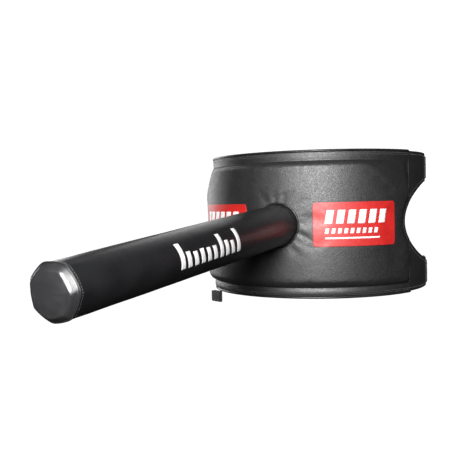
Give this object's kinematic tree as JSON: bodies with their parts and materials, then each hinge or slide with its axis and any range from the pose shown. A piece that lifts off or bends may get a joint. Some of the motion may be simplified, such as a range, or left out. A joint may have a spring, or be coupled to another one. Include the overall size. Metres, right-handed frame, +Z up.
{
  "type": "bag-mounted training arm",
  "caption": "Padded training arm on a wrap-around cuff that straps round a heavy bag, with a flexible rubber root and hook-and-loop straps.",
  "frame": {"origin": "on the axis of the bag that the cuff wraps, at the cuff's mid height", "axes": "+Z up along the bag's axis; -Y is the way the arm points; +X is to the right when facing the cuff from the arm's side"},
  "size_m": [0.4102, 1.0136, 0.2735],
  "materials": {
    "cuff_leather": "satin",
    "arm_vinyl": "satin",
    "cap_vinyl": "satin",
    "lining_fabric": "matte",
    "foam": "matte",
    "piping": "satin",
    "badge_red": "gloss",
    "plate_plastic": "matte",
    "zinc_steel": "satin",
    "buffer_rubber": "matte",
    "core_aluminium": "satin",
    "plug_plastic": "matte",
    "webbing": "matte",
    "hook_tape": "matte",
    "loop_tape": "matte"
  },
  "bodies": {
    "cuff": {"cuff_lining": "lining_fabric", "cuff_foam": "foam", "cuff_cover": "cuff_leather", "cuff_top_piping": "piping", "cuff_bottom_piping": "piping", "backing_plate": "plate_plastic", "right_badge": "badge_red", "left_badge": "badge_red", "stud_flange": "zinc_steel", "flange_screws": "zinc_steel", "flange_washers": "zinc_steel", "flange_nuts": "zinc_steel"},
    "arm_swivel": {"rubber_buffer": "buffer_rubber", "root_collar": "arm_vinyl"},
    "arm": {"arm_socket": "zinc_steel", "core_tube": "core_aluminium", "core_end_plug": "plug_plastic", "cross_bolt": "zinc_steel", "cross_nut": "zinc_steel", "arm_foam": "foam", "end_foam": "foam", "arm_cover": "arm_vinyl", "end_seam_piping": "piping", "end_cap_cover": "cap_vinyl"},
    "tie_loop": {"tie_loop": "webbing"},
    "right_upper_flap": {"right_upper_tab": "cuff_leather", "right_upper_strap_base": "webbing"},
    "right_upper_strap": {"right_upper_strap": "webbing", "right_upper_hook_tape": "hook_tape"},
    "left_upper_flap": {"left_upper_tab": "cuff_leather", "left_upper_strap": "webbing", "left_upper_loop_tape": "loop_tape"},
    "right_lower_flap": {"right_lower_tab": "cuff_leather", "right_lower_strap_base": "webbing"},
    "right_lower_strap": {"right_lower_strap": "webbing", "right_lower_hook_tape": "hook_tape"},
    "left_lower_flap": {"left_lower_tab": "cuff_leather", "left_lower_strap": "webbing", "left_lower_loop_tape": "loop_tape"}
  },
  "joints": [
    {"name": "arm_yaw", "type": "hinge", "parent": "cuff", "child": "arm_swivel", "pos_m": [0, -0.22, 0], "axis": [0, 0, 1], "range_deg": [-10, 10], "stiffness_Nm_per_rad": 33.77, "deforming": ["rubber_buffer", "root_collar"]},
    {"name": "arm_pitch", "type": "hinge", "parent": "arm_swivel", "child": "arm", "pos_m": [0, -0.22, 0], "axis": [-1, 0, 0], "range_deg": [-10, 10], "stiffness_Nm_per_rad": 33.77, "springref_deg": 4, "deforming": ["rubber_buffer", "root_collar"]},
    {"name": "right_upper_flap_open", "type": "hinge", "parent": "cuff", "child": "right_upper_flap", "pos_m": [0.19166, -0.06957, 0.0975], "axis": [0, 0, -1], "range_deg": [0, 70]},
    {"name": "right_upper_strap_peel", "type": "hinge", "parent": "right_upper_flap", "child": "right_upper_strap", "pos_m": [0.19107, 0.07778, 0.0975], "axis": [0, 0, -1], "range_deg": [0, 80]},
    {"name": "left_upper_flap_open", "type": "hinge", "parent": "cuff", "child": "left_upper_flap", "pos_m": [-0.19166, -0.06957, 0.0975], "axis": [0, 0, 1], "range_deg": [0, 35]},
    {"name": "right_lower_flap_open", "type": "hinge", "parent": "cuff", "child": "right_lower_flap", "pos_m": [0.19166, -0.06957, -0.0975], "axis": [0, 0, -1], "range_deg": [0, 70]},
    {"name": "right_lower_strap_peel", "type": "hinge", "parent": "right_lower_flap", "child": "right_lower_strap", "pos_m": [0.19107, 0.07778, -0.0975], "axis": [0, 0, -1], "range_deg": [0, 80]},
    {"name": "left_lower_flap_open", "type": "hinge", "parent": "cuff", "child": "left_lower_flap", "pos_m": [-0.19166, -0.06957, -0.0975], "axis": [0, 0, 1], "range_deg": [0, 35]},
    {"name": "tie_loop_swing", "type": "hinge", "parent": "cuff", "child": "tie_loop", "pos_m": [-0.15972, -0.13402, -0.1264], "axis": [-0.6428, 0.766, 0], "range_deg": [0, 80]}
  ],
  "couplings": [
    {"joint": "left_upper_flap_open", "follows": "right_upper_flap_open", "ratio": 0.5},
    {"joint": "left_lower_flap_open", "follows": "right_lower_flap_open", "ratio": 0.5}
  ]
}
